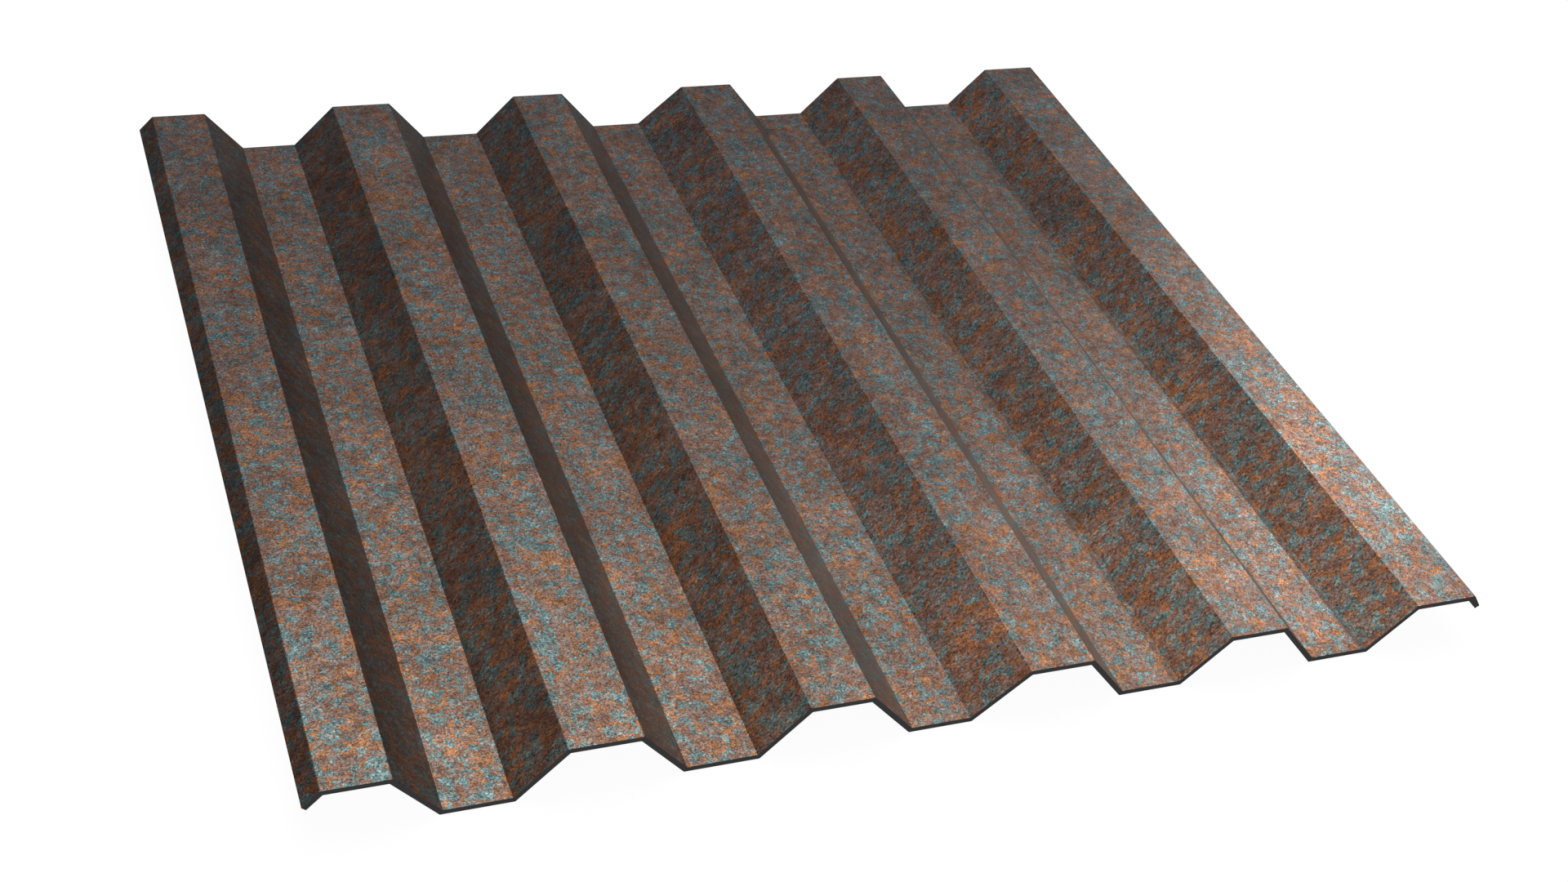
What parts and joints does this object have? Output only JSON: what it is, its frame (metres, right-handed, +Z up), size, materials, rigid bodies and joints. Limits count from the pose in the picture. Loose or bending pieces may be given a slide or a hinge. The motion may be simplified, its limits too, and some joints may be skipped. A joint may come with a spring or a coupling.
{
  "type": "corrugated metal sheet",
  "caption": "Trapezoidal corrugated steel sheet with flat crests and troughs, sloping webs and short side lips, rusted brown with blue-green patches; for roofing, cladding or fencing.",
  "frame": {"origin": "on the floor, under the middle of the sheet", "axes": "+X across the waves, +Y along the waves, +Z up, out of the crest tops"},
  "size_m": [1.0876, 0.98, 0.051],
  "materials": {
    "rusted_steel": "matte"
  },
  "bodies": {
    "root": {"sheet": "rusted_steel"}
  },
  "joints": []
}
